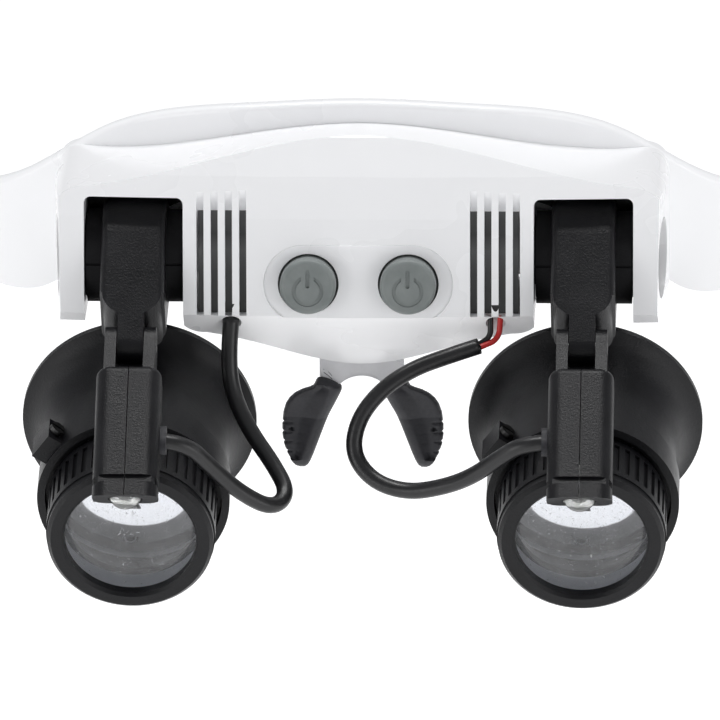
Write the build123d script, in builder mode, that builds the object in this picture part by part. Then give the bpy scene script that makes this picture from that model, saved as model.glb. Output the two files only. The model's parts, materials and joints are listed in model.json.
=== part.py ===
from build123d import *
import os
from math import cos, sin, radians, tan, pi

# Glasses-type double loupe. Millimetres, +Z up, +Y towards the wearer's head.
# The origin is the middle of the brow's rear face, where it rests on the forehead.
# "left" is the wearer's left, at +X.

# ---------------------------------------------------------------- driving dimensions
DRUM_Y = -5.5           # axis of the two hinge drums, from the origin
DRUM_Z = -18.0
BROW_R = 80.0           # plan radius of the brow's front face
BROW_T = 2.5            # wall of the brow band
BROW_FRONT = 3.0        # front of the brow, behind the drum axis
BROW_HALF = 68.0        # half width at the temple hinges
HOUSING_R = 700.0       # plan radius of the electronics box's front
HOUSING_HALF = 25.4     # half width of the electronics box
WALL = 1.9
NOTCH_X = 32.85         # middle of each drum notch
NOTCH_W = 14.5
NOTCH_TOP = 10.8
EAR_HALF = 44.3         # outer face of the ears, level with the drum axis
EAR_TAPER = 0.09        # widening of the ears towards the head
EAR_HOLE_R = 6.0
DRUM_R = 6.8
JOURNAL_R = 5.8         # drum end in the ear
STUB_R = 4.0            # drum end in the box's side wall
BUTTON_X = 7.3
BUTTON_Z = -1.5
BUTTON_HOLE_R = 4.45
BUTTON_R = 4.1
BUTTON_RISE = 2.3
FACE_LEAN = 8.8         # lean of the box's front face
VENT_X = (16.85, 18.93, 21.01, 23.09)
VENT_W = 1.05
SLEEVE_R = 8.6
SLEEVE_BORE = 6.95
SLEEVE_W = 9.4
LOUPE_DROP = 15.5       # optical axis, below the horizontal
LOUPE_Y = 4.0           # rim centre of the eye cup, from the drum axis
LOUPE_Z = -26.7
RIM_R = 17.25
TUBE_R = 13.5
RING_R = 14.1
RING_START = 15.6
RING_END = 21.0
BARREL_R = 12.35
BARREL_END = 29.3
LOUPE_END = 31.1
APERTURE_R = 9.65
RIBS = 44
LAMP_DROP = 38.0        # lamp axis, below the horizontal
LAMP_PIN_Y = -16.1
LAMP_PIN_Z = -8.4
LAMP_TOP = 5.2          # upper end of the lamp body, along its axis
LAMP_END = 27.6         # lower end, on the upper side
LAMP_W = 9.5
LAMP_H = 7.2
LED_R = 2.5
LED_TIP = 27.4          # end of the lamp's dome, along the lamp's axis
LEAD_D = 2.4
LEAD_HOLES = (-18.6, 20.0)
LEAD_HOLE_Y = -7.15
LEAD_ENTRY = (15.8, -0.4)      # along and above the lamp's axis
TEMPLE_HINGE = (66.9, 41.0)
TEMPLE_T = 3.4
TEMPLE_H = 7.4
SIDES = (("left", 1), ("right", -1))

# Working planes through the drum axis: plan from above, front view, side view.
PLAN = Plane(origin=(0, DRUM_Y, DRUM_Z), x_dir=(1, 0, 0), z_dir=(0, 0, 1))
FRONT = Plane(origin=(0, DRUM_Y, DRUM_Z), x_dir=(1, 0, 0), z_dir=(0, -1, 0))
SIDE = Plane(origin=(0, DRUM_Y, DRUM_Z), x_dir=(0, 1, 0), z_dir=(1, 0, 0))
BROW_CENTRE = (0, BROW_FRONT + BROW_R)


def place(x, y, z):
    """A point given from the drum axis."""
    return (x, DRUM_Y + y, DRUM_Z + z)


def falling(angle):
    """Forward direction that falls by an angle below the horizontal."""
    return (0, -cos(radians(angle)), -sin(radians(angle)))


def across(origin, direction):
    """Plane square to a forward direction, local x along +X."""
    return Plane(origin=origin, x_dir=(1, 0, 0), z_dir=direction)


def turned(origin, direction):
    """Plane for a turned profile: local x is the radius, local y runs along the axis."""
    return Plane(origin=origin, x_dir=(1, 0, 0), z_dir=Vector(1, 0, 0).cross(Vector(*direction)))


def finish(part, name, shade):
    part.label = name
    part.color = Color(*shade)
    export_step(part, f"parts/{name}.step")


WHITE = (0.93, 0.93, 0.94)
BLACK = (0.06, 0.06, 0.07)
GREY = (0.45, 0.47, 0.47)
CLEAR = (0.80, 0.82, 0.83)
METAL = (0.70, 0.70, 0.72)
GREEN = (0.10, 0.35, 0.18)
RED = (0.75, 0.06, 0.05)

os.makedirs("parts", exist_ok=True)

# ---------------------------------------------------------------- nose bridge
with BuildPart() as nose_bridge:
    with BuildSketch(FRONT.offset(-2.6)):
        with BuildLine():
            Polyline((-6.2, -16.2), (6.2, -16.2), (6.2, -19.6), (5.2, -20.9), (3.2, -20.9))
            RadiusArc((3.2, -20.9), (-3.2, -20.9), -4.6)
            Polyline((-3.2, -20.9), (-5.2, -20.9), (-6.2, -19.6), (-6.2, -16.2))
        make_face()
    extrude(amount=-1.8)
finish(nose_bridge.part, "nose_bridge", CLEAR)

# ---------------------------------------------------------------- front housing
# Brow band: a ring in plan, trimmed to its outline in front view.
with BuildPart() as brow:
    with BuildSketch(PLAN.offset(-20)):
        with Locations(BROW_CENTRE):
            Circle(BROW_R)
            Circle(BROW_R - BROW_T, mode=Mode.SUBTRACT)
    extrude(amount=50)
    with BuildSketch(FRONT.offset(20)):
        with BuildLine():
            Spline((-BROW_HALF, 0), (-50.3, 5.6), (-37, 15.8), (-15, 21.7), (0, 22.8),
                   (15, 21.7), (37, 15.8), (50.3, 5.6), (BROW_HALF, 0))
            Line((BROW_HALF, 0), (BROW_HALF, -10))
            Spline((BROW_HALF, -10), (57, -13.2), (50.3, -12.7), (45, -9.5))
            Line((45, -9.5), (-45, -9.5))
            Spline((-45, -9.5), (-50.3, -12.7), (-57, -13.2), (-BROW_HALF, -10))
            Line((-BROW_HALF, -10), (-BROW_HALF, 0))
        make_face()
    extrude(amount=-80, mode=Mode.INTERSECT)
    fillet(brow.edges().group_by(Axis.Z)[-1], 0.9)
    with BuildSketch(PLAN.offset(-20)):
        with Locations((0, 58)):
            Rectangle(200, 40)
    extrude(amount=50, mode=Mode.SUBTRACT)

# Electronics box, notch bridges and ears: a leaning face swung about a far upright axis.
swing = Axis((0, DRUM_Y - 9 + HOUSING_R, 0), (0, 0, 1))
with BuildPart() as box:
    with BuildSketch(SIDE):
        with BuildLine():
            Polyline((-9, -6.2), (-6.8, 8), (-5.2, 14), (-3, 19.4), (0.5, 21.6),
                     (22, 21.6), (22, -18.5), (3.2, -18.5), (-9, -6.2))
        make_face()
    revolve(axis=swing, revolution_arc=4)
    mirror(about=Plane.YZ)
    with BuildSketch(FRONT.offset(20)):
        with BuildLine():
            Spline((-40.5, 12.2), (-25.4, 15.2), (0, 19.6), (25.4, 15.2), (40.5, 12.2),
                   tangents=[(1, 0.12), (1, -0.12)])
            for s in (1, -1):
                RadiusArc((s * 40.5, 12.2), (s * (EAR_HALF + 0.8), 7.6), s * 4.8)
                Line((s * (EAR_HALF + 0.8), 7.6), (s * (EAR_HALF + 0.8), -6.8))
                RadiusArc((s * (EAR_HALF + 0.8), -6.8), (s * (EAR_HALF - 0.4), -8), s * 1.2)
                Line((s * (EAR_HALF - 0.4), -8), (s * 26, -8))
                RadiusArc((s * 26, -8), (s * 22.4, -10.3), s * 3.4)
            Spline((-22.4, -10.3), (-17, -11.9), (0, -17.6), (17, -11.9), (22.4, -10.3))
        make_face()
    extrude(amount=-60, mode=Mode.INTERSECT)
    with BuildSketch(PLAN.offset(-30)):
        with Locations(BROW_CENTRE):
            Circle(BROW_R - BROW_T)
    extrude(amount=60, mode=Mode.SUBTRACT)
    # outer faces of the ears, which turn a little forward
    for s in (1, -1):
        with BuildSketch(PLAN.offset(-30)):
            with BuildLine():
                Polyline((s * (EAR_HALF - 20 * EAR_TAPER), -20), (s * (EAR_HALF + 9 * EAR_TAPER), 9),
                         (s * 60, 9), (s * 60, -20), close=True)
            make_face()
        extrude(amount=60, mode=Mode.SUBTRACT)

with BuildPart() as front_housing:
    add(box.part)
    # the two drum notches, open in front and below, closed behind by the brow band
    for _, s in SIDES:
        with BuildSketch(FRONT.offset(30)):
            with Locations((s * NOTCH_X, NOTCH_TOP - 20)):
                RectangleRounded(NOTCH_W, 40, 1.0)
        extrude(amount=-60, mode=Mode.SUBTRACT)
    add(brow.part)
    for _, s in SIDES:
        with BuildSketch(SIDE.offset(s * NOTCH_X - NOTCH_W / 2)):
            Circle(SLEEVE_R + 0.4)
        extrude(amount=NOTCH_W, mode=Mode.SUBTRACT)
    # drum bores in the box's side walls and in the ears
    for _, s in SIDES:
        with BuildSketch(SIDE.offset(s * HOUSING_HALF - 3)):
            Circle(STUB_R + 0.1)
        extrude(amount=6, mode=Mode.SUBTRACT)
        with BuildSketch(SIDE.offset(s * EAR_HALF - 6)):
            Circle(EAR_HOLE_R)
        extrude(amount=12, mode=Mode.SUBTRACT)
    # electronics bay, open behind, with a leaning front wall
    with BuildSketch(SIDE.offset(-HOUSING_HALF + WALL)):
        with BuildLine():
            Polyline((-7.25, -6.3), (-4.0, 13), (22, 13), (22, -6.3), close=True)
        make_face()
    extrude(amount=2 * (HOUSING_HALF - WALL), mode=Mode.SUBTRACT)
    # hollow of the belly
    with BuildSketch(FRONT.offset(-40)):
        with BuildLine():
            Polyline((-17, -7), (17, -7), (15, -10.6), (0, -15.4), (-15, -10.6), close=True)
        make_face()
    extrude(amount=38.5, mode=Mode.SUBTRACT)
    # vent slots, which run out as the face leans back
    for x in VENT_X:
        for s in (1, -1):
            with BuildSketch(SIDE.offset(s * x - VENT_W / 2)):
                with BuildLine():
                    Polyline((-14, -6.3), (-14, 12.4), (-5.6, 12.4), (-4.2, 6.4), (-5.4, -6.3), close=True)
                make_face()
            extrude(amount=VENT_W, mode=Mode.SUBTRACT)
    # lead holes at the lower ends of the vents
    for x in LEAD_HOLES:
        with BuildSketch(PLAN.offset(-14)):
            with Locations((x, LEAD_HOLE_Y)):
                Circle(LEAD_D / 2 + 0.25)
        extrude(amount=9.5, mode=Mode.SUBTRACT)
    # dished field round the buttons, and their holes, square to the leaning face
    face = Plane(origin=place(0, -8.27, BUTTON_Z), x_dir=(1, 0, 0), z_dir=(0, -cos(radians(FACE_LEAN)),
                 sin(radians(FACE_LEAN))))
    with BuildSketch(face.offset(-0.45)):
        SlotOverall(27.5, 11.4)
    extrude(amount=4, taper=-20, mode=Mode.SUBTRACT)
    with BuildSketch(face.offset(3)):
        with Locations((-BUTTON_X, 0), (BUTTON_X, 0)):
            Circle(BUTTON_HOLE_R)
    extrude(amount=-6, mode=Mode.SUBTRACT)
    with BuildSketch(face.offset(-2.15)):
        with Locations((-BUTTON_X, 0), (BUTTON_X, 0)):
            Circle(5.2)
    extrude(amount=-2, mode=Mode.SUBTRACT)
    # hinge ends for the temples: a block with an upper and a lower knuckle
    for _, s in SIDES:
        x, y = TEMPLE_HINGE
        with BuildSketch(PLAN.offset(-9.6)):
            with Locations((s * (x - 0.3), y - 4.6)):
                Rectangle(5, 3.4)
        extrude(amount=9.2)
        for z in (-9.6, -3.2):
            with BuildSketch(PLAN.offset(z)):
                with Locations((s * x, y)):
                    Circle(2.4)
                with Locations((s * x, y - 2.2)):
                    Rectangle(4.8, 4.4)
                with Locations((s * x, y)):
                    Circle(0.8, mode=Mode.SUBTRACT)
            extrude(amount=2.8)
    add(nose_bridge.part, mode=Mode.SUBTRACT)
finish(front_housing.part, "front_housing", WHITE)

# ---------------------------------------------------------------- rear of the box
INNER_R = BROW_R - BROW_T       # rear face of the brow, in plan
COVER_HALF = HOUSING_HALF - WALL - 0.1
DOOR_HALF = 19.5
DOOR_Z = (-4.2, 9.2)


def curved_plate(r_in, r_out, half, z_low, z_high):
    """Plate that follows the brow's plan curve, made from Z low to high."""
    with BuildPart() as plate:
        with BuildSketch(PLAN.offset(z_low)):
            with Locations(BROW_CENTRE):
                Circle(r_out)
                Circle(r_in, mode=Mode.SUBTRACT)
            with Locations((0, 0)):
                Rectangle(2 * half, 40, mode=Mode.INTERSECT)
        extrude(amount=z_high - z_low)
    return plate.part


SCREW_X = 21.5
with BuildPart() as cover_screws:
    for s in (1, -1):
        for z in (-2.5, 10.2):
            with BuildSketch(FRONT.offset(-7.2)):
                with Locations((s * SCREW_X, z)):
                    Circle(1.3)
            extrude(amount=0.7)
            with BuildSketch(FRONT.offset(-6.5)):
                with Locations((s * SCREW_X, z)):
                    Circle(0.7)
            extrude(amount=4)
finish(cover_screws.part, "cover_screws", METAL)

with BuildPart() as rear_cover:
    add(curved_plate(INNER_R, INNER_R + 1.6, COVER_HALF, -5.3, 12.9))
    add(curved_plate(INNER_R - 1, INNER_R + 3, DOOR_HALF + 0.15, DOOR_Z[0] - 0.15, DOOR_Z[1] + 0.15),
        mode=Mode.SUBTRACT)
    # ledge inside the window that the battery door rests on
    add(curved_plate(INNER_R + 1.6, INNER_R + 2.3, COVER_HALF, 9.0, 12.9))
    add(cover_screws.part, mode=Mode.SUBTRACT)
finish(rear_cover.part, "rear_cover", WHITE)

with BuildPart() as battery_door:
    add(curved_plate(INNER_R, INNER_R + 1.4, DOOR_HALF, *DOOR_Z))
    # thumb grooves
    for z in (6.4, 7.2, 8.0):
        add(curved_plate(INNER_R - 1, INNER_R + 0.35, 4, z, z + 0.4), mode=Mode.SUBTRACT)
finish(battery_door.part, "battery_door", WHITE)

# ---------------------------------------------------------------- electronics
PCB_Y = -1.6
CELL_R = 5.8
with BuildPart() as circuit_board:
    with BuildSketch(FRONT.offset(-PCB_Y)):
        with Locations((0, 2.5)):
            RectangleRounded(41, 13, 1)
    extrude(amount=-1.0)
finish(circuit_board.part, "circuit_board", GREEN)

with BuildPart() as tactile_switches:
    for s in (1, -1):
        with BuildSketch(FRONT.offset(-PCB_Y)):
            with Locations((s * BUTTON_X, BUTTON_Z)):
                Rectangle(6, 6)
        extrude(amount=2.4)
        with BuildSketch(FRONT.offset(-PCB_Y + 2.4)):
            with Locations((s * BUTTON_X, BUTTON_Z)):
                Circle(1.7)
        extrude(amount=0.45)
finish(tactile_switches.part, "tactile_switches", METAL)

with BuildPart() as battery_contacts:
    for x in (-13, 0, 13):
        with BuildSketch(FRONT.offset(-PCB_Y - 1.0)):
            with Locations((x, 2.5)):
                Rectangle(5, 8)
        extrude(amount=-0.25)
finish(battery_contacts.part, "battery_contacts", METAL)

with BuildPart() as button_cells:
    for x in (-13, 0, 13):
        with BuildSketch(FRONT.offset(-PCB_Y - 1.25)):
            with Locations((x, 2.5)):
                Circle(CELL_R)
        extrude(amount=-2.2)
        with BuildSketch(FRONT.offset(-PCB_Y - 3.45)):
            with Locations((x, 2.5)):
                Circle(CELL_R - 0.9)
        extrude(amount=-0.7)
finish(button_cells.part, "button_cells", METAL)

with BuildPart() as vent_liner:
    for s in (1, -1):
        with BuildSketch(SIDE.offset(s * 19.7 - 3.7)):
            with BuildLine():
                Polyline((-7.2, -6.25), (-4.2, 11.6), (-3.6, 11.6), (-6.6, -6.25), close=True)
            make_face()
        extrude(amount=7.4)
finish(vent_liner.part, "vent_liner", BLACK)

# ---------------------------------------------------------------- power buttons
for side, s in SIDES:
    middle = Plane(origin=face.from_local_coords((s * BUTTON_X, 0, 0)), x_dir=(1, 0, 0), z_dir=face.z_dir)
    with BuildPart() as power_button:
        with BuildSketch(turned(middle.origin, tuple(face.z_dir))):
            with BuildLine():
                Polyline((0, -2.95), (4.9, -2.95), (4.9, -2.25), (BUTTON_R, -2.25),
                         (BUTTON_R, BUTTON_RISE - 0.7))
                RadiusArc((BUTTON_R, BUTTON_RISE - 0.7), (BUTTON_R - 0.7, BUTTON_RISE - 0.05), -0.7)
                Line((BUTTON_R - 0.7, BUTTON_RISE - 0.05), (0, BUTTON_RISE + 0.1))
                Line((0, BUTTON_RISE + 0.1), (0, -2.95))
            make_face()
        revolve(axis=Axis(middle.origin, face.z_dir))
        # generic on-off mark, sunk in the cap
        with BuildSketch(middle.offset(BUTTON_RISE - 0.2)):
            with Locations((0, -0.6)):
                Circle(2.3)
                Circle(1.75, mode=Mode.SUBTRACT)
                with Locations((0, 1.8)):
                    Rectangle(1.9, 2.0, mode=Mode.SUBTRACT)
                    SlotOverall(2.7, 0.6, rotation=90)
        extrude(amount=1, mode=Mode.SUBTRACT)
    finish(power_button.part, f"power_button_{side}", GREY)


# ---------------------------------------------------------------- nose pads
for side, s in SIDES:
    with BuildPart() as nose_pad:
        with BuildSketch(FRONT.offset(-3.2)):
            with BuildLine():
                Polyline((s * 3.1, -22.4), (s * 6.1, -21.0), (s * 7.3, -23.2))
                Spline((s * 7.3, -23.2), (s * 9.4, -23.4), (s * 11.0, -26.0), (s * 11.6, -30.2),
                       (s * 10.6, -34.6), (s * 8.9, -36.2))
                Line((s * 8.9, -36.2), (s * 3.1, -22.4))
            make_face()
        extrude(amount=-3.6)
        fillet(nose_pad.edges().filter_by(GeomType.BSPLINE), 0.9)
    finish(nose_pad.part, f"nose_pad_{side}", BLACK)

# ---------------------------------------------------------------- the two loupes
LOUPE_DIR = falling(LOUPE_DROP)
LAMP_DIR = falling(LAMP_DROP)
NECK_DIR = falling(27.5)
NECK_W = 3.8
PIN_R = 1.0


def turn(origin, direction, *points):
    """Turned piece from (radius, distance along the axis) points."""
    with BuildPart() as piece:
        with BuildSketch(turned(origin, direction)):
            with BuildLine():
                Polyline(*points, close=True)
            make_face()
        revolve(axis=Axis(origin, direction))
    return piece.part


def beside_loupe(a, n):
    """Side-view point from the distance along and above the optical axis."""
    drop = radians(LOUPE_DROP)
    return (LOUPE_Y - a * cos(drop) - n * sin(drop), LOUPE_Z - a * sin(drop) + n * cos(drop))


def beside_lamp(t, n):
    """Side-view point from the distance along and above the lamp's axis."""
    drop = radians(LAMP_DROP)
    return (LAMP_PIN_Y - t * cos(drop) - n * sin(drop), LAMP_PIN_Z - t * sin(drop) + n * cos(drop))


def cylinder_x(x_low, x_high, y, z, radius):
    """Cylinder along X in the side view."""
    with BuildPart() as pin:
        with BuildSketch(SIDE.offset(x_low)):
            with Locations((y, z)):
                Circle(radius)
        extrude(amount=x_high - x_low)
    return pin.part


for side, s in SIDES:
    x = s * NOTCH_X
    half = NOTCH_W / 2
    centre = place(x, LOUPE_Y, LOUPE_Z)
    loupe = across(centre, LOUPE_DIR)

    # black cradle that closes the notch behind and above the drum
    with BuildPart() as pivot_block:
        with BuildSketch(SIDE.offset(x - half + 0.05)):
            with BuildLine():
                Polyline((0.6, NOTCH_TOP - 0.05), (20, NOTCH_TOP - 0.05), (20, -5), (8, -5),
                         (8, 0), (0.6, 8), close=True)
            make_face()
            Circle(9.4, mode=Mode.SUBTRACT)
        extrude(amount=NOTCH_W - 0.1)
        with BuildSketch(FRONT.offset(20)):
            with Locations((x, NOTCH_TOP - 20.05)):
                RectangleRounded(NOTCH_W - 0.1, 40, 1.0)
        extrude(amount=-60, mode=Mode.INTERSECT)
        with BuildSketch(PLAN.offset(-20)):
            with Locations(BROW_CENTRE):
                Circle(BROW_R + 0.05)
        extrude(amount=50, mode=Mode.SUBTRACT)
    finish(pivot_block.part, f"pivot_block_{side}", BLACK)

    # drum with a stub in the box's wall and a wide journal in the ear
    inner, outer = s * (NOTCH_X - half), s * (NOTCH_X + half)
    with BuildPart() as drum:
        add(cylinder_x(x - half + 0.25, x + half - 0.25, 0, 0, DRUM_R))
        add(cylinder_x(min(inner - s * 2, inner + s), max(inner - s * 2, inner + s), 0, 0, STUB_R))
        add(cylinder_x(min(outer - s, outer + s * 3), max(outer - s, outer + s * 3), 0, 0, JOURNAL_R))
        # key groove along the drum's front, and a hollow end with a cross rib
        with BuildSketch(SIDE.offset(x - half)):
            with Locations((-DRUM_R, 0.9)):
                Rectangle(0.7, 0.4)
        extrude(amount=NOTCH_W, mode=Mode.SUBTRACT)
        with BuildSketch(SIDE.offset(outer + s * 1.4)):
            Circle(JOURNAL_R - 1.3)
            Rectangle(12, 1.2, mode=Mode.SUBTRACT)
        extrude(amount=s * 4, mode=Mode.SUBTRACT)
    finish(drum.part, f"drum_{side}", BLACK)

    # carrier: sleeve on the drum, neck for the lamp, strut and ring for the loupe
    neck_plane = Plane(origin=place(x, 0, 0), x_dir=(1, 0, 0), z_dir=Vector(1, 0, 0).cross(Vector(*NECK_DIR)))
    with BuildPart() as carrier:
        with BuildSketch(SIDE.offset(x - SLEEVE_W / 2)):
            Circle(SLEEVE_R)
            with Locations((LAMP_PIN_Y, LAMP_PIN_Z)):
                Circle(2.7)
            make_hull()
        extrude(amount=SLEEVE_W)
        fillet(carrier.edges().filter_by(Axis.X, reverse=True), 1.1)
        # waisted neck, narrow between the lamp's prongs
        for sign in (1, -1):
            with BuildSketch(neck_plane):
                with BuildLine():
                    Line((sign * 5, 11.2), (sign * 5, 22))
                    Line((sign * 5, 22), (sign * NECK_W / 2, 22))
                    Line((sign * NECK_W / 2, 22), (sign * NECK_W / 2, 15.0))
                    RadiusArc((sign * NECK_W / 2, 15.0), (sign * 4.3, 11.9), sign * 3.3)
                    Line((sign * 4.3, 11.9), (sign * 5, 11.2))
                make_face()
            extrude(amount=10, both=True, mode=Mode.SUBTRACT)
        with BuildSketch(SIDE.offset(x - 2.7)):
            with BuildLine():
                Polyline(beside_loupe(-1.4, 18.6), beside_loupe(3.2, 21.2), beside_loupe(8.5, 18.0),
                         beside_loupe(15.5, 16.2), beside_loupe(RING_END, 15.6),
                         beside_loupe(RING_END, 13.4), beside_loupe(RING_START, 13.4),
                         beside_loupe(RING_START, 14.2), beside_loupe(8.5, 14.9),
                         beside_loupe(4, 16.3), beside_loupe(0.5, 18.0), close=True)
            make_face()
        extrude(amount=5.4)
        add(turn(centre, LOUPE_DIR, (12.95, RING_START), (RING_R, RING_START), (RING_R, RING_END),
                 (12.95, RING_END)))
        # clamp lug on the ring's shoulder, bored for its screw
        with BuildSketch(loupe.offset(16.1)):
            with Locations(Location((-11.9, 8.3, 0), (0, 0, 145))):
                Rectangle(3.6, 4.4)
        extrude(amount=4.4)
        add(turn(centre, LOUPE_DIR, (0, 10), (12.95, 10), (12.95, 24), (0, 24)), mode=Mode.SUBTRACT)
        add(cylinder_x(x - 6, x + 6, 0, 0, SLEEVE_BORE), mode=Mode.SUBTRACT)
        add(cylinder_x(x - 3, x + 3, LAMP_PIN_Y, LAMP_PIN_Z, PIN_R), mode=Mode.SUBTRACT)
        bore = loupe.from_local_coords((-12.45, 8.7, 18.3))
        tangent = Vector(sin(radians(35)), 0, 0) + loupe.y_dir * cos(radians(35))
        screw_line = Plane(origin=bore, z_dir=tangent)
        with BuildSketch(screw_line.offset(-5)):
            Circle(0.65)
        extrude(amount=10, mode=Mode.SUBTRACT)
    finish(carrier.part, f"carrier_{side}", BLACK)

    with BuildPart() as clamp_screw:
        with BuildSketch(screw_line.offset(-2.1)):
            Circle(0.6)
        extrude(amount=4.5)
        with BuildSketch(screw_line.offset(2.3)):
            Circle(1.1)
        extrude(amount=0.7)
        with BuildSketch(screw_line.offset(2.75)):
            Rectangle(4, 0.35)
        extrude(amount=0.4, mode=Mode.SUBTRACT)
    finish(clamp_screw.part, f"clamp_screw_{side}", METAL)

    # eye cup: flared rim, tube, spigot in the ring, shoulder for the eye lens
    with BuildPart() as eye_cup:
        with BuildSketch(turned(centre, LOUPE_DIR)):
            with BuildLine():
                Line((RIM_R - 1.3, 0), (RIM_R, 0))
                Line((RIM_R, 0), (RIM_R, 0.9))
                Spline((RIM_R, 0.9), (TUBE_R, 8.5), tangents=[(-1, 0.5), (0, 1)])
                Polyline((TUBE_R, 8.5), (TUBE_R, 15.4), (12.85, 15.4), (12.85, 19.4), (11.6, 19.4),
                         (11.6, 9.8), (10.4, 9.8), (10.4, 8.6))
                Spline((10.4, 8.6), (RIM_R - 1.3, 0), tangents=[(0, -1), (1, -0.5)])
            make_face()
        revolve(axis=Axis(centre, LOUPE_DIR))
    finish(eye_cup.part, f"eye_cup_{side}", BLACK)

    for name, rear, front, radius, bulge in (("eye_lens", 10.0, 12.6, 11.5, 1.0),
                                             ("objective_lens", 20.8, 28.8, 10.3, 1.2)):
        dome = (radius ** 2 + bulge ** 2) / (2 * bulge)
        with BuildPart() as lens:
            with BuildSketch(turned(centre, LOUPE_DIR)):
                with BuildLine():
                    RadiusArc((0, front + bulge), (radius, front), dome)
                    Line((radius, front), (radius, rear))
                    RadiusArc((radius, rear), (0, rear - bulge), dome)
                    Line((0, rear - bulge), (0, front + bulge))
                make_face()
            revolve(axis=Axis(centre, LOUPE_DIR))
        finish(lens.part, f"{name}_{side}", CLEAR)

    # lens barrel with grip ribs, and the bezel that holds its lens
    with BuildPart() as lens_barrel:
        add(turn(centre, LOUPE_DIR, (11.45, 17.6), (11.45, 21.2), (BARREL_R, 21.2),
                 (BARREL_R, BARREL_END), (10.4, BARREL_END), (10.4, 17.6)))
        with BuildSketch(loupe.offset(22.2)):
            with PolarLocations(BARREL_R, RIBS):
                Rectangle(0.8, 0.85)
        extrude(amount=6.0, mode=Mode.SUBTRACT)
        # seat behind the lens
        add(turn(centre, LOUPE_DIR, (9.4, 18.4), (10.4, 18.4), (10.4, 20.7), (9.4, 20.3)))
    finish(lens_barrel.part, f"lens_barrel_{side}", BLACK)

    lens_bezel = turn(centre, LOUPE_DIR, (APERTURE_R, BARREL_END), (12.15, BARREL_END), (12.15, 30.5),
                      (11.6, LOUPE_END), (10.1, LOUPE_END), (APERTURE_R, 30.7))
    finish(lens_bezel, f"lens_bezel_{side}", BLACK)

    # lamp: two half shells with prongs round the neck, a pin, the lamp itself and a grommet
    lamp_pin = cylinder_x(x - 3.7, x + 3.7, LAMP_PIN_Y, LAMP_PIN_Z, PIN_R - 0.05)
    finish(lamp_pin, f"lamp_pin_{side}", METAL)

    with BuildPart() as lamp_body:
        with BuildSketch(SIDE.offset(x - LAMP_W / 2)):
            with BuildLine():
                Polyline(beside_lamp(LAMP_TOP, LAMP_H / 2), beside_lamp(LAMP_END, LAMP_H / 2),
                         beside_lamp(LAMP_END - 3.0, -LAMP_H / 2), beside_lamp(LAMP_TOP, -LAMP_H / 2),
                         close=True)
            make_face()
        extrude(amount=LAMP_W)
        fillet(lamp_body.edges().filter_by(lambda e: e.length > 15), 2.2)
        fillet(lamp_body.faces().sort_by(Axis.Z)[-1].edges(), 1.2)
        # waist groove
        for sign in (1, -1):
            with BuildSketch(across(place(x, LAMP_PIN_Y, LAMP_PIN_Z), LAMP_DIR).offset(24.0)):
                with Locations((sign * LAMP_W / 2, 0)):
                    Rectangle(1.0, 12)
                with Locations((0, LAMP_H / 2)):
                    Rectangle(12, 0.9)
            extrude(amount=1.1, mode=Mode.SUBTRACT)
        # prongs
        for sign in (1, -1):
            low = x + sign * 2.85 - 0.85
            add(cylinder_x(low, low + 1.7, LAMP_PIN_Y, LAMP_PIN_Z, 2.8))
            with BuildSketch(SIDE.offset(low)):
                with BuildLine():
                    Polyline(beside_lamp(0, 2.8), beside_lamp(6, 3.2), beside_lamp(6, -3.2),
                             beside_lamp(0, -2.8), close=True)
                make_face()
            extrude(amount=1.7)
        add(cylinder_x(x - 5, x + 5, LAMP_PIN_Y, LAMP_PIN_Z, PIN_R), mode=Mode.SUBTRACT)
        # hollow for the lamp and the lead
        with BuildSketch(across(place(x, LAMP_PIN_Y, LAMP_PIN_Z), LAMP_DIR).offset(9)):
            Rectangle(5.2, 4.0)
        extrude(amount=13, mode=Mode.SUBTRACT)
        with BuildSketch(across(place(x, LAMP_PIN_Y, LAMP_PIN_Z), LAMP_DIR).offset(21)):
            Circle(LED_R + 0.02)
        extrude(amount=10, mode=Mode.SUBTRACT)
        # side opening for the lead
        with BuildSketch(across(place(x, LAMP_PIN_Y, LAMP_PIN_Z), LAMP_DIR).offset(LEAD_ENTRY[0] - 2.2)):
            with Locations((-s * 4, LEAD_ENTRY[1])):
                Rectangle(4.4, 3.2)
        extrude(amount=4.4, mode=Mode.SUBTRACT)
    for name, sign in (("inner", -s), ("outer", s)):
        with BuildPart() as lamp_shell:
            add(lamp_body.part)
            with BuildSketch(SIDE.offset(x + sign * 0.06)):
                Rectangle(120, 120)
            extrude(amount=sign * 10, mode=Mode.INTERSECT)
        finish(lamp_shell.part, f"lamp_shell_{name}_{side}", BLACK)

    pin_point = place(x, LAMP_PIN_Y, LAMP_PIN_Z)
    with BuildPart() as lamp_led:
        with BuildSketch(turned(pin_point, LAMP_DIR)):
            with BuildLine():
                Polyline((0, 21.4), (LED_R, 21.4), (LED_R, LED_TIP - LED_R))
                RadiusArc((LED_R, LED_TIP - LED_R), (0, LED_TIP), -LED_R)
                Line((0, LED_TIP), (0, 21.4))
            make_face()
        revolve(axis=Axis(pin_point, LAMP_DIR))
    finish(lamp_led.part, f"lamp_led_{side}", CLEAR)

    # rubber grommet round the lead where it enters the lamp's side
    with BuildPart() as lead_grommet:
        with BuildSketch(Plane(origin=place(x - s * (LAMP_W / 2 + 0.9), *beside_lamp(*LEAD_ENTRY)),
                               x_dir=LAMP_DIR, z_dir=(s, 0, 0))):
            SlotOverall(4.3, 3.1)
        extrude(amount=2.4)
        with BuildSketch(SIDE.offset(x - s * 8)):
            with Locations(beside_lamp(*LEAD_ENTRY)):
                Circle(LEAD_D / 2 + 0.02)
        extrude(amount=s * 8, mode=Mode.SUBTRACT)
    finish(lead_grommet.part, f"lead_grommet_{side}", BLACK)

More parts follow.
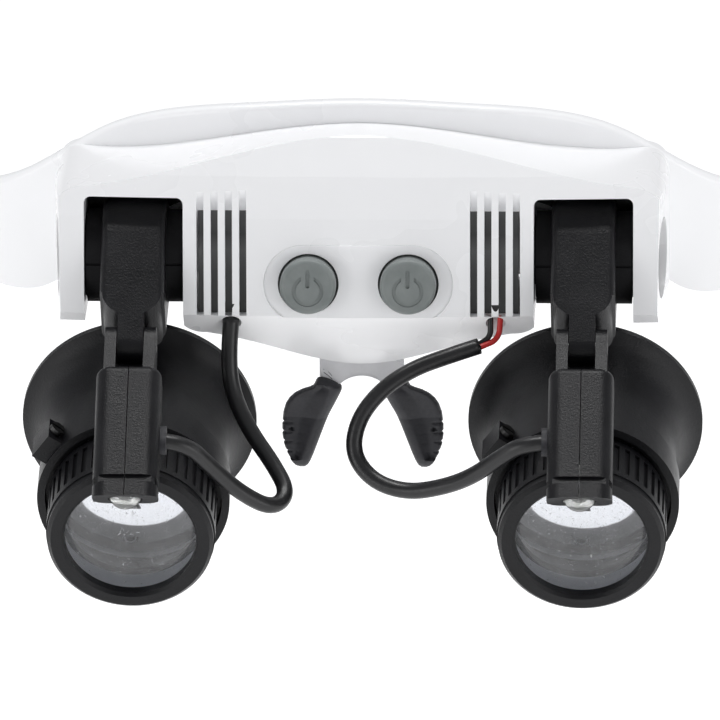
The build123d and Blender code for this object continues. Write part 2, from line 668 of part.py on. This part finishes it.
# ---------------------------------------------------------------- the two lamp leads
# Each route runs from the box's lead hole to the grommet, as corners of straight runs.
ROUTES = {
    "right": [(-18.6, -7.3, -7.0), (-19.1, -8.2, -12.4), (-18.5, -9.7, -18.0), (-15.8, -12.2, -23.0),
              (-12.4, -14.8, -27.0), (-10.0, -18.0, -30.4), (-12.2, -21.4, -31.6), (-16.6, -23.2, -28.6),
              (-20.8, -25.4, -23.8), (-24.8, -28.3, -18.44)],
    "left": [(17.6, -9.2, -10.6), (12.8, -10.8, -11.7), (7.8, -12.2, -13.2), (3.3, -13.5, -16.0),
             (0.0, -14.6, -20.2), (-0.8, -16.0, -25.0), (2.3, -17.8, -28.6), (7.4, -19.6, -29.6),
             (12.6, -21.6, -28.0), (16.8, -23.8, -25.6), (20.6, -26.2, -22.0), (24.8, -28.3, -18.44)],
}


def run_arcs(points):
    """Arc radius for each corner: 0.45 of the shorter run over the tangent of half the turn."""
    radii = []
    for before, corner, after in zip(points, points[1:], points[2:]):
        a, b = Vector(corner) - Vector(before), Vector(after) - Vector(corner)
        radii.append(0.45 * min(a.length, b.length) / tan(radians(a.get_angle(b)) / 2))
    return radii


for side, s in SIDES:
    last = (s * (NOTCH_X - LAMP_W / 2 + 2.2), *beside_lamp(*LEAD_ENTRY))
    points = [place(*p) for p in ROUTES[side]] + [place(*last)]
    radii = run_arcs(points)
    with BuildPart() as lead:
        with BuildLine() as route:
            FilletPolyline(*points, radius=radii)
        with BuildSketch(Plane(origin=points[0], z_dir=Vector(*points[1]) - Vector(*points[0]))):
            Circle(LEAD_D / 2)
        sweep()
    section = pi * LEAD_D ** 2 / 4
    length = sum(edge.length for edge in route.edges())
    print(f"lead_{side}: length {length:.1f}, volume ratio {lead.part.volume / section / length:.4f},",
          "radii", " ".join(f"{r:.1f}" for r in radii))
    finish(lead.part, f"lead_{side}", BLACK)

# bare red and black wires between the box and the end of the left lead's sheath
sheath_end = Vector(*place(*ROUTES["left"][0]))
sheath_way = (Vector(*place(*ROUTES["left"][1])) - sheath_end).normalized()
for name, shift, shade in (("lead_wire_red", 0.52, RED), ("lead_wire_black", -0.52, BLACK)):
    side_step = Vector(0, 0, 1).cross(sheath_way).normalized() * shift
    start = Vector(*place(LEAD_HOLES[1] + shift * 1.4, -7.2, -6.6))
    corner = Vector(*place(LEAD_HOLES[1] - 0.1 + shift * 1.2, -8.0, -9.8 - shift * 0.3))
    end = sheath_end + side_step - sheath_way * 0.05
    with BuildPart() as wire:
        with BuildLine() as route:
            FilletPolyline(start, corner, end, radius=run_arcs([start, corner, end]))
        with BuildSketch(Plane(origin=start, z_dir=corner - start)):
            Circle(0.42)
        sweep()
    finish(wire.part, name, shade)

# ---------------------------------------------------------------- temples
KNUCKLE_Z = (-6.6, -3.4)
ARM_MID = -5.0
ARM_END = 84.0          # where the arm starts to curve down, behind the hinge
TIP_END = 121.0
for side, s in SIDES:
    hx, hy = TEMPLE_HINGE
    with BuildPart() as temple:
        with BuildSketch(PLAN.offset(KNUCKLE_Z[0])):
            with Locations((s * hx, hy)):
                Circle(2.4)
            with Locations((s * hx, hy + 2.6)):
                Rectangle(TEMPLE_T, 5.2)
        extrude(amount=KNUCKLE_Z[1] - KNUCKLE_Z[0])
        with BuildSketch(SIDE.offset(s * hx - TEMPLE_T / 2)):
            with BuildLine():
                Line((hy + 2.9, ARM_MID), (hy + ARM_END, ARM_MID))
                TangentArc((hy + ARM_END, ARM_MID), (hy + TIP_END, ARM_MID - 18), tangent=(1, 0))
            trace(line_width=TEMPLE_H)
        extrude(amount=TEMPLE_T)
        with BuildSketch(PLAN.offset(-20)):
            with Locations((s * hx, hy)):
                Circle(1.0)
        extrude(amount=30, mode=Mode.SUBTRACT)
    with BuildPart() as temple_tip:
        with BuildSketch(SIDE.offset(s * hx - 2.4)):
            with BuildLine():
                TangentArc((hy + ARM_END, ARM_MID), (hy + TIP_END, ARM_MID - 18), tangent=(1, 0))
            trace(line_width=9.2)
            with Locations((hy + TIP_END, ARM_MID - 18)):
                Circle(4.6)
            with Locations((hy + ARM_END - 2, ARM_MID)):
                Rectangle(20, 20, mode=Mode.SUBTRACT)
        extrude(amount=4.8)
        fillet(temple_tip.edges().filter_by(lambda e: e.length > 20), 1.4)
        add(temple.part, mode=Mode.SUBTRACT)
    finish(temple.part, f"temple_{side}", WHITE)
    finish(temple_tip.part, f"temple_tip_{side}", BLACK)
    with BuildPart() as hinge_pin:
        with BuildSketch(PLAN.offset(-9.6)):
            with Locations((s * hx, hy)):
                Circle(0.8)
        extrude(amount=9.2)
    finish(hinge_pin.part, f"hinge_pin_{side}", METAL)
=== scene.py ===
"""Looks for the head visor magnifier: a glasses-type double loupe with two lamps."""

import json
import math

import bmesh
import bpy
from mathutils import Matrix, Vector


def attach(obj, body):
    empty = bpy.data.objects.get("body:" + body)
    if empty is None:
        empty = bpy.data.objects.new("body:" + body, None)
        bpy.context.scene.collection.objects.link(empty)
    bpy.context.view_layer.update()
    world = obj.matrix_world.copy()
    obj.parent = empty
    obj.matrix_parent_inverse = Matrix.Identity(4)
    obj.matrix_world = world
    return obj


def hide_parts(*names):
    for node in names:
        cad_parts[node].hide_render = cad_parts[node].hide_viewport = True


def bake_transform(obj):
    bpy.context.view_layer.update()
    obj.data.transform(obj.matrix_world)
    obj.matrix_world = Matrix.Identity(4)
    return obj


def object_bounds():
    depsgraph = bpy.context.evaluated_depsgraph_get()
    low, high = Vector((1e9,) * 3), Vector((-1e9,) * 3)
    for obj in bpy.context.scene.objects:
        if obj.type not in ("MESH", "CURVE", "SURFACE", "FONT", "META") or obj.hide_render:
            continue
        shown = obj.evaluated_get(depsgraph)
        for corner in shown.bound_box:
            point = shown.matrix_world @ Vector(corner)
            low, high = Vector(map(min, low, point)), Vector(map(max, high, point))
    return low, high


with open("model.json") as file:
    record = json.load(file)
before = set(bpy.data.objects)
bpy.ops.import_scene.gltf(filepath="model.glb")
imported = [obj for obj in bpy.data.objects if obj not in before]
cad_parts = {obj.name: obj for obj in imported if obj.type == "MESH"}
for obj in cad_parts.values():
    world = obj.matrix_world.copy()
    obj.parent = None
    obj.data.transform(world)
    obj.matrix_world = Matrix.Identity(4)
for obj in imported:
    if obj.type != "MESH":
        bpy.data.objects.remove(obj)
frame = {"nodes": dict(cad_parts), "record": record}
cad_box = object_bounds()
SCENE = bpy.context.scene
MM = 0.001
DRUM = Vector((0, -5.5, -18.0)) * MM    # middle of the drum axis
LEAD_DIAMETER = 2.4 * MM
LOUPE_AXIS = (0, -math.cos(math.radians(15.5)), -math.sin(math.radians(15.5)))


def at(x, y, z):
    """A point in metres, from millimetres measured from the drum axis."""
    return DRUM + Vector((x, y, z)) * MM


# ---------------------------------------------------------------- camera
AZIMUTH = math.radians(2.3)
ELEVATION = math.radians(20.0)
ROLL = math.radians(0.5)
DISTANCE = 2.0
PIXELS_PER_METRE = 6830.0
FRAME_PIXELS = 720.0
SENSOR_WIDTH = 36.0
DROP_PIXELS = 104.0                     # the drum axis stands this far above the middle
SIDE_PIXELS = 1.0                       # and this far to the right of it


def make_camera():
    data = bpy.data.cameras.new("camera")
    data.sensor_width = SENSOR_WIDTH
    data.lens = PIXELS_PER_METRE * DISTANCE * data.sensor_width / FRAME_PIXELS
    camera = bpy.data.objects.new("camera", data)
    SCENE.collection.objects.link(camera)
    toward = Vector((math.sin(AZIMUTH) * math.cos(ELEVATION),
                     -math.cos(AZIMUTH) * math.cos(ELEVATION),
                     math.sin(ELEVATION)))
    right = Vector((math.cos(AZIMUTH), math.sin(AZIMUTH), 0))
    up = toward.cross(right)
    target = DRUM - (up * DROP_PIXELS + right * SIDE_PIXELS) / PIXELS_PER_METRE
    turn = Matrix.Rotation(-ROLL, 3, toward)
    right, up = turn @ right, turn @ up
    basis = Matrix((right, up, toward)).transposed()
    camera.matrix_world = Matrix.Translation(target + toward * DISTANCE) @ basis.to_4x4()
    SCENE.camera = camera


make_camera()

# ---------------------------------------------------------------- the two lamp leads
ROUTES = {
    "right": [(-18.6, -7.3, -7.0), (-19.1, -8.2, -12.4), (-18.5, -9.7, -18.0),
              (-15.8, -12.2, -23.0), (-12.4, -14.8, -27.0), (-10.0, -18.0, -30.4),
              (-12.2, -21.4, -31.6), (-16.6, -23.2, -28.6), (-20.8, -25.4, -23.8),
              (-24.8, -28.3, -18.44), (-30.3, -28.3, -18.44)],
    "left": [(17.6, -9.2, -10.6), (12.8, -10.8, -11.7), (7.8, -12.2, -13.2), (3.3, -13.5, -16.0),
             (0.0, -14.6, -20.2), (-0.8, -16.0, -25.0), (2.3, -17.8, -28.6), (7.4, -19.6, -29.6),
             (12.6, -21.6, -28.0), (16.8, -23.8, -25.6), (20.6, -26.2, -22.0),
             (24.8, -28.3, -18.44), (30.3, -28.3, -18.44)],
}


def smooth_line(name, points):
    """Points along a NURBS spline that has the given control points."""
    curve = bpy.data.curves.new(name + "_line", "CURVE")
    curve.dimensions = "3D"
    curve.resolution_u = 12
    spline = curve.splines.new("NURBS")
    spline.points.add(len(points) - 1)
    for slot, point in zip(spline.points, points):
        slot.co = (*point, 1.0)
    spline.order_u = 3
    spline.use_endpoint_u = True
    holder = bpy.data.objects.new(name + "_line", curve)
    mesh = bpy.data.meshes.new_from_object(holder)
    line = [v.co.copy() for v in mesh.vertices]
    bpy.data.meshes.remove(mesh)
    bpy.data.objects.remove(holder)
    bpy.data.curves.remove(curve)
    return line


def tube(name, line, radius, sides=24):
    """Closed mesh tube along a line, with an even frame carried from ring to ring."""
    bm = bmesh.new()
    rings = []
    across = None
    for i, point in enumerate(line):
        before, after = line[max(i - 1, 0)], line[min(i + 1, len(line) - 1)]
        way = (after - before).normalized()
        if across is None:
            across = way.orthogonal().normalized()
        across = (across - way * across.dot(way)).normalized()
        other = way.cross(across)
        ring = []
        for k in range(sides):
            angle = 2 * math.pi * k / sides
            spoke = across * math.cos(angle) + other * math.sin(angle)
            ring.append(bm.verts.new(point + spoke * radius))
        rings.append(ring)
    for one, two in zip(rings, rings[1:]):
        for k in range(sides):
            bm.faces.new((one[k], one[(k + 1) % sides], two[(k + 1) % sides], two[k]))
    bm.faces.new(reversed(rings[0]))
    bm.faces.new(rings[-1])
    mesh = bpy.data.meshes.new(name)
    bm.to_mesh(mesh)
    bm.free()
    mesh.polygons.foreach_set("use_smooth", [len(p.vertices) == 4 for p in mesh.polygons])
    piece = bpy.data.objects.new(name, mesh)
    SCENE.collection.objects.link(piece)
    return piece


def make_leads():
    leads = {}
    for side, route in ROUTES.items():
        line = smooth_line(f"lead_{side}", [at(*p) for p in route])
        lead = tube(f"lead_{side}_sheath", line, LEAD_DIAMETER / 2)
        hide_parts(f"lead_{side}")
        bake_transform(lead)
        leads[side] = lead
    return leads


leads = make_leads()

# ---------------------------------------------------------------- materials


def new_material(name):
    material = bpy.data.materials.new(name)
    material.use_nodes = True
    nodes, links = material.node_tree.nodes, material.node_tree.links
    return material, nodes, links, nodes["Principled BSDF"]


def noise(nodes, links, scale, detail, roughness=0.55):
    coords = nodes.new("ShaderNodeTexCoord")
    texture = nodes.new("ShaderNodeTexNoise")
    texture.inputs["Scale"].default_value = scale
    texture.inputs["Detail"].default_value = detail
    texture.inputs["Roughness"].default_value = roughness
    links.new(coords.outputs["Object"], texture.inputs["Vector"])
    return texture.outputs["Fac"]


def ramp(nodes, links, source, stops):
    """Colour ramp: stops are (position, colour) pairs."""
    node = nodes.new("ShaderNodeValToRGB")
    while len(node.color_ramp.elements) < len(stops):
        node.color_ramp.elements.new(0.5)
    for element, (position, colour) in zip(node.color_ramp.elements, stops):
        element.position = position
        element.color = (*colour, 1.0)
    links.new(source, node.inputs["Fac"])
    return node.outputs["Color"]


def grey(value):
    return (value, value, value)


def tint(nodes, links, source, shader, socket, *stops):
    """Colour ramp from a source into one of the shader's sockets."""
    links.new(ramp(nodes, links, source, stops), shader.inputs[socket])


def bumps(nodes, links, shader, heights):
    """Bump from (source, distance, strength) layers, one on the other."""
    normal = None
    for source, distance, strength in heights:
        bump = nodes.new("ShaderNodeBump")
        bump.inputs["Distance"].default_value = distance
        bump.inputs["Strength"].default_value = strength
        links.new(source, bump.inputs["Height"])
        if normal is not None:
            links.new(normal, bump.inputs["Normal"])
        normal = bump.outputs["Normal"]
    links.new(normal, shader.inputs["Normal"])


def white_shell():
    material, nodes, links, shader = new_material("white_abs")
    broad = noise(nodes, links, 45, 3)
    tint(nodes, links, broad, shader, "Base Color",
         (0.3, (0.895, 0.898, 0.912)), (0.7, (0.915, 0.918, 0.930)))
    fine = noise(nodes, links, 2800, 3)
    tint(nodes, links, broad, shader, "Roughness", (0.35, grey(0.26)), (0.75, grey(0.32)))
    shader.inputs["Coat Weight"].default_value = 0.25
    shader.inputs["Coat Roughness"].default_value = 0.12
    bumps(nodes, links, shader, [(fine, 0.000004, 0.15)])
    return material


def black_plastic(name, grain, depth, dark, light, rough):
    """Satin black moulding with a spark-eroded grain."""
    material, nodes, links, shader = new_material(name)
    cloud = noise(nodes, links, 160, 4)
    tint(nodes, links, cloud, shader, "Base Color", (0.3, dark), (0.75, light))
    spark = noise(nodes, links, grain, 3, 0.7)
    tint(nodes, links, cloud, shader, "Roughness",
         (0.3, grey(rough - 0.05)), (0.7, grey(rough + 0.07)))
    shader.inputs["Specular IOR Level"].default_value = 0.24
    bumps(nodes, links, shader, [(spark, depth, 0.9)])
    return material


def rubber(name, dark, light, rough=0.62, sheen=0.12):
    material, nodes, links, shader = new_material(name)
    cloud = noise(nodes, links, 300, 5)
    tint(nodes, links, cloud, shader, "Base Color", (0.3, dark), (0.75, light))
    dust = noise(nodes, links, 2600, 4, 0.7)
    tint(nodes, links, dust, shader, "Roughness",
         (0.35, grey(rough - 0.08)), (0.7, grey(rough + 0.1)))
    shader.inputs["Sheen Weight"].default_value = sheen
    shader.inputs["Sheen Roughness"].default_value = 0.4
    bumps(nodes, links, shader, [(cloud, 0.00006, 0.3), (dust, 0.00002, 0.35)])
    return material


def lens_glass():
    """Dusty polished faces and an opaque near-white edge, a painted highlight for the bevel's
    bright crescent, told apart by the way each face turns.
    """
    material, nodes, links, shader = new_material("lens_glass")
    shader.inputs["IOR"].default_value = 1.5
    coords = nodes.new("ShaderNodeTexCoord")
    along = nodes.new("ShaderNodeVectorMath")
    along.operation = "DOT_PRODUCT"
    along.inputs[1].default_value = LOUPE_AXIS
    links.new(coords.outputs["Normal"], along.inputs[0])
    facing = nodes.new("ShaderNodeMath")
    facing.operation = "ABSOLUTE"
    links.new(along.outputs["Value"], facing.inputs[0])
    # Faces turned across the axis are the lens edge: no transmission, rough and near white, a
    # painted highlight for the bright crescent.
    polished_vs_painted_edge = nodes.new("ShaderNodeMapRange")
    polished_vs_painted_edge.inputs["From Min"].default_value = 0.55
    polished_vs_painted_edge.inputs["From Max"].default_value = 0.65
    links.new(facing.outputs["Value"], polished_vs_painted_edge.inputs["Value"])
    haze = noise(nodes, links, 260, 5, 0.6)
    speck = noise(nodes, links, 2400, 2, 0.8)
    clear = nodes.new("ShaderNodeMath")
    clear.operation = "MULTIPLY"
    hazed = ramp(nodes, links, haze, [(0.38, grey(0.985)), (0.66, grey(0.955))])
    specked = ramp(nodes, links, speck, [(0.64, grey(1.0)), (0.72, grey(0.55))])
    links.new(hazed, clear.inputs[0])
    links.new(specked, clear.inputs[1])
    open_part = nodes.new("ShaderNodeMath")
    open_part.operation = "MULTIPLY"
    links.new(clear.outputs["Value"], open_part.inputs[0])
    links.new(polished_vs_painted_edge.outputs["Result"], open_part.inputs[1])
    links.new(open_part.outputs["Value"], shader.inputs["Transmission Weight"])
    tint(nodes, links, haze, shader, "Base Color",
         (0.3, (0.86, 0.87, 0.90)), (0.7, (0.93, 0.94, 0.96)))
    tint(nodes, links, polished_vs_painted_edge.outputs["Result"], shader, "Roughness",
         (0.0, grey(0.6)), (1.0, grey(0.03)))
    return material


def vent_liner():
    """Charcoal liner behind the vent slots, with painted light: paler towards its top and a
    painted reflection band at mid height.
    """
    material, nodes, links, shader = new_material("vent_liner")
    coords = nodes.new("ShaderNodeTexCoord")
    split = nodes.new("ShaderNodeSeparateXYZ")
    links.new(coords.outputs["Object"], split.inputs["Vector"])
    height = nodes.new("ShaderNodeMapRange")
    height.inputs["From Min"].default_value = at(0, 0, -6)[2]
    height.inputs["From Max"].default_value = at(0, 0, 10)[2]
    links.new(split.outputs["Z"], height.inputs["Value"])
    # Painted light by height: a painted reflection band at mid height and painted light on the
    # top, over the charcoal colour.
    tint(nodes, links, height.outputs["Result"], shader, "Base Color",
         (0.0, grey(0.035)), (0.35, grey(0.07)), (0.55, grey(0.13)), (0.7, grey(0.06)),
         (1.0, grey(0.12)))
    cloud = noise(nodes, links, 900, 4)
    tint(nodes, links, cloud, shader, "Roughness", (0.3, grey(0.30)), (0.7, grey(0.42)))
    bumps(nodes, links, shader, [(cloud, 0.00003, 0.4)])
    return material


def led_dome():
    material, nodes, links, shader = new_material("led_dome")
    shader.inputs["Transmission Weight"].default_value = 0.9
    shader.inputs["IOR"].default_value = 1.5
    cloud = noise(nodes, links, 700, 3)
    tint(nodes, links, cloud, shader, "Base Color",
         (0.3, (0.80, 0.82, 0.80)), (0.7, (0.92, 0.93, 0.92)))
    tint(nodes, links, cloud, shader, "Roughness", (0.3, grey(0.06)), (0.7, grey(0.14)))
    return material


def steel():
    material, nodes, links, shader = new_material("nickel_steel")
    brushed = noise(nodes, links, 900, 6, 0.7)
    tint(nodes, links, brushed, shader, "Base Color", (0.3, grey(0.42)), (0.7, grey(0.66)))
    tint(nodes, links, brushed, shader, "Roughness", (0.3, grey(0.22)), (0.7, grey(0.40)))
    shader.inputs["Metallic"].default_value = 1.0
    bumps(nodes, links, shader, [(brushed, 0.00002, 0.3)])
    return material


def black_steel():
    material, nodes, links, shader = new_material("black_steel")
    cloud = noise(nodes, links, 1400, 4)
    tint(nodes, links, cloud, shader, "Base Color", (0.3, grey(0.035)), (0.7, grey(0.075)))
    tint(nodes, links, cloud, shader, "Roughness", (0.3, grey(0.32)), (0.7, grey(0.45)))
    shader.inputs["Metallic"].default_value = 0.9
    return material


def bridge_plastic():
    material, nodes, links, shader = new_material("milky_nylon")
    cloud = noise(nodes, links, 220, 4)
    tint(nodes, links, cloud, shader, "Base Color",
         (0.3, (0.66, 0.66, 0.68)), (0.7, (0.80, 0.80, 0.82)))
    tint(nodes, links, cloud, shader, "Roughness", (0.3, grey(0.25)), (0.7, grey(0.38)))
    shader.inputs["Transmission Weight"].default_value = 0.35
    shader.inputs["IOR"].default_value = 1.45
    bumps(nodes, links, shader, [(cloud, 0.00005, 0.3)])
    return material


def board():
    material, nodes, links, shader = new_material("circuit_board")
    speckle = noise(nodes, links, 1100, 2)
    tint(nodes, links, speckle, shader, "Base Color",
         (0.45, (0.02, 0.16, 0.06)), (0.6, (0.05, 0.26, 0.11)), (0.72, (0.55, 0.50, 0.32)))
    tint(nodes, links, speckle, shader, "Roughness", (0.3, grey(0.3)), (0.7, grey(0.45)))
    bumps(nodes, links, shader, [(speckle, 0.00004, 0.4)])
    return material


MATERIALS = {
    "white_shell": white_shell(),
    "black_plastic": black_plastic("black_nylon", 3200, 0.00007, (0.0045, 0.0045, 0.0055),
                                   (0.0085, 0.0085, 0.010), 0.33),
    "dull_black": black_plastic("dull_black_nylon", 3200, 0.00004, (0.004, 0.004, 0.005),
                                (0.008, 0.008, 0.009), 0.78),
    "black_rubber": rubber("black_rubber", (0.016, 0.016, 0.020), (0.028, 0.028, 0.034)),
    "button_rubber": rubber("grey_silicone", (0.165, 0.185, 0.182), (0.215, 0.235, 0.230),
                            0.48),
    "bridge_plastic": bridge_plastic(),
    "painted_light_liner": vent_liner(),
    "lens_glass": lens_glass(),
    "led_lens": led_dome(),
    "steel": steel(),
    "board": board(),
    "black_steel": black_steel(),
    "lead_jacket": rubber("black_pvc", (0.006, 0.006, 0.007), (0.010, 0.010, 0.011), 0.36, 0.0),
    "red_wire": rubber("red_pvc", (0.50, 0.012, 0.012), (0.62, 0.03, 0.025), 0.38, 0.0),
}


def dress(piece, slot):
    piece.data.materials.clear()
    piece.data.materials.append(MATERIALS[slot])


for entry in frame["record"]["subparts"]:
    dress(frame["nodes"][entry["node"]], entry["material_slot"])
dress(frame["nodes"]["vent_liner"], "painted_light_liner")
for side in ("left", "right"):
    dress(leads[side], "lead_jacket")
    dress(frame["nodes"][f"clamp_screw_{side}"], "black_steel")
    dress(frame["nodes"][f"drum_{side}"], "dull_black")


# ---------------------------------------------------------------- nose pads
# Front outline of the left pad from the drum axis, in millimetres: height, inner edge, outer edge.
PAD_ROWS = [(-19.7, 5.7, 6.3), (-20.1, 4.7, 6.6), (-20.7, 3.6, 6.9), (-21.3, 3.0, 7.2),
            (-21.7, 2.95, 7.9), (-22.1, 3.05, 9.0), (-22.7, 3.3, 10.0), (-23.5, 3.65, 10.75),
            (-24.5, 4.1, 11.3), (-26.0, 4.8, 11.7), (-28.0, 5.6, 11.9), (-29.5, 6.15, 11.9),
            (-31.0, 6.7, 11.7), (-32.5, 7.25, 11.2), (-33.7, 7.75, 10.5), (-34.4, 8.15, 9.9),
            (-34.75, 8.6, 9.4)]
PAD_MIDDLE = (2.3, 5.0)                 # depth of the stem's top and of the lobe
PAD_NOTCHES = (-27.6, -29.1, -30.6, -32.1)
NOTCH_DEPTH, NOTCH_HALF = 0.22, 0.30
STEM_RADIUS, LOBE_HALF = 1.65, 0.85
LOBE_SLICE = 70                         # from this slice down the pad is at its full depth
LEAST_HALF = 0.02
PAD_DIMPLE = (10.5, -28.6, 0.32)        # x, height and radius
DIMPLE_DEPTH = 0.7


def between(rows, height):
    """Inner and outer edge at a height, from a table of rows."""
    for (z1, a1, b1), (z2, a2, b2) in zip(rows, rows[1:]):
        if z2 <= height <= z1:
            share = (z1 - height) / (z1 - z2)
            return a1 + (a2 - a1) * share, b1 + (b2 - b1) * share
    return rows[-1][1:]


def make_nose_pad(side, sign):
    """Rubber pad lofted from level slices: a round stem and a thinner, notched lobe."""
    slices, around = 150, 56
    top, bottom = PAD_ROWS[0][0], PAD_ROWS[-1][0]
    bm = bmesh.new()
    rings = []
    for i in range(slices + 1):
        z = top + (bottom - top) * i / slices
        inner, outer = between(PAD_ROWS, z)
        cut = min(abs(z - height) for height in PAD_NOTCHES)
        notch = NOTCH_DEPTH * max(0.0, 1 - cut / NOTCH_HALF)
        outer -= notch
        width = outer - inner
        stem = min(STEM_RADIUS, width / 2)
        close = min(1.0, (i + 0.4) / 5, (slices - i + 0.4) / 6)
        middle = PAD_MIDDLE[0] + (PAD_MIDDLE[1] - PAD_MIDDLE[0]) * min(1.0, i / LOBE_SLICE)
        ring = []
        for k in range(around):
            angle = 2 * math.pi * k / around
            share = 0.5 - 0.5 * math.cos(angle)
            x = inner + width * share
            reach = x - inner
            if reach < stem:
                half = math.sqrt(max(stem ** 2 - (stem - reach) ** 2, 0.0))
            else:
                lobe = (reach - stem) / max(width - stem, 0.01)
                half = stem
                if width > 2 * stem:
                    half = stem - (stem - LOBE_HALF) * min(1.0, lobe * 2.2)
                edge = min(1.0, (1 - share) / 0.10)
                half *= math.sqrt(max(1 - (1 - edge) ** 2, 0.0))
                half -= notch * 0.8 * (lobe > 0.72)
            half = max(half, LEAST_HALF) * math.sqrt(close)
            y = middle - half if math.sin(angle) >= 0 else middle + half
            if math.sin(angle) > 0:
                away = math.hypot(x - PAD_DIMPLE[0], z - PAD_DIMPLE[1]) / PAD_DIMPLE[2]
                y += DIMPLE_DEPTH * max(0.0, 1 - away ** 4)
            ring.append(bm.verts.new(at(sign * x, y, z)))
        rings.append(ring)
    for one, two in zip(rings, rings[1:]):
        for k in range(around):
            bm.faces.new((one[k], one[(k + 1) % around], two[(k + 1) % around], two[k]))
    bm.faces.new(rings[0])
    bm.faces.new(rings[-1])
    bmesh.ops.remove_doubles(bm, verts=bm.verts, dist=0.004 * MM)
    bmesh.ops.recalc_face_normals(bm, faces=bm.faces)
    mesh = bpy.data.meshes.new(f"nose_pad_{side}_soft")
    bm.to_mesh(mesh)
    bm.free()
    mesh.polygons.foreach_set("use_smooth", [True] * len(mesh.polygons))
    pad = bpy.data.objects.new(f"nose_pad_{side}_soft", mesh)
    SCENE.collection.objects.link(pad)
    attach(pad, "frame")
    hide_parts(f"nose_pad_{side}")
    dress(pad, "black_rubber")


make_nose_pad("left", 1)
make_nose_pad("right", -1)

# Loose fibres that cling to the cut top of the right pad.
FIBRE_RADIUS = 0.05 * MM
FIBRES = [[(-3.4, 3.0, -21.4), (-4.0, 2.7, -20.3), (-4.7, 2.6, -19.2), (-5.6, 2.7, -18.3)],
          [(-3.9, 3.0, -21.0), (-4.3, 2.6, -20.2), (-4.9, 2.5, -19.6), (-5.6, 2.6, -19.1)],
          [(-5.0, 3.1, -20.9), (-4.6, 2.8, -20.7), (-4.1, 2.7, -21.0), (-3.7, 3.0, -21.6)]]
for i, points in enumerate(FIBRES):
    line = smooth_line(f"fibre_{i}", [at(*p) for p in points])
    fibre = tube(f"fibre_{i}", line, FIBRE_RADIUS, 8)
    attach(fibre, "frame")
    dress(fibre, "black_rubber")


# ---------------------------------------------------------------- floor, light
# name, position, target, width, height, watts
LIGHTS = [
    ("overhead", (0, 0.10, 0.80), (0, -0.02, -0.02), 0.7, 0.16, 4.9),
    ("front_left", (-0.85, -0.75, -0.02), (0, 0, -0.02), 0.5, 0.8, 3.3),
    ("front_right", (0.85, -0.75, -0.02), (0, 0, -0.02), 0.5, 0.8, 3.3),
    ("low_fill", (0, -1.0, -0.50), (0, 0, -0.03), 1.2, 0.4, 3.0),
    ("left_strip", (-0.7, -0.05, 0.0), (0, -0.02, -0.03), 0.10, 0.7, 0.8),
    ("right_strip", (0.7, -0.05, 0.0), (0, -0.02, -0.03), 0.10, 0.7, 0.8),
]


def area_light(name, position, target, width, height, power):
    data = bpy.data.lights.new(name, "AREA")
    data.shape = "RECTANGLE"
    data.size = width
    data.size_y = height
    data.energy = power
    lamp = bpy.data.objects.new(name, data)
    lamp.location = position
    way = Vector(target) - Vector(position)
    lamp.rotation_euler = way.to_track_quat("-Z", "Y").to_euler()
    SCENE.collection.objects.link(lamp)


FLOOR_HALF = 5.0
FLOOR_GAP = 0.10                        # clear space under the object


def make_stage():
    bm = bmesh.new()
    bmesh.ops.create_grid(bm, x_segments=8, y_segments=8, size=FLOOR_HALF)
    mesh = bpy.data.meshes.new("floor")
    bm.to_mesh(mesh)
    bm.free()
    floor = bpy.data.objects.new("floor", mesh)
    floor.location = (0, 0, cad_box[0][2] - FLOOR_GAP)
    SCENE.collection.objects.link(floor)
    material, nodes, links, shader = new_material("pale_floor")
    tint(nodes, links, noise(nodes, links, 6, 3), shader, "Base Color",
         (0.3, grey(0.94)), (0.7, grey(0.96)))
    shader.inputs["Roughness"].default_value = 0.9
    shader.inputs["Emission Color"].default_value = (1, 1, 1, 1)
    shader.inputs["Emission Strength"].default_value = 0.42
    mesh.materials.append(material)
    world = bpy.data.worlds.new("studio")
    world.use_nodes = True
    background = world.node_tree.nodes["Background"]
    background.inputs["Color"].default_value = (0.965, 0.975, 1.0, 1)
    background.inputs["Strength"].default_value = 0.33
    SCENE.world = world
    SCENE.view_settings.view_transform = "Standard"
    for light in LIGHTS:
        area_light(*light)


make_stage()
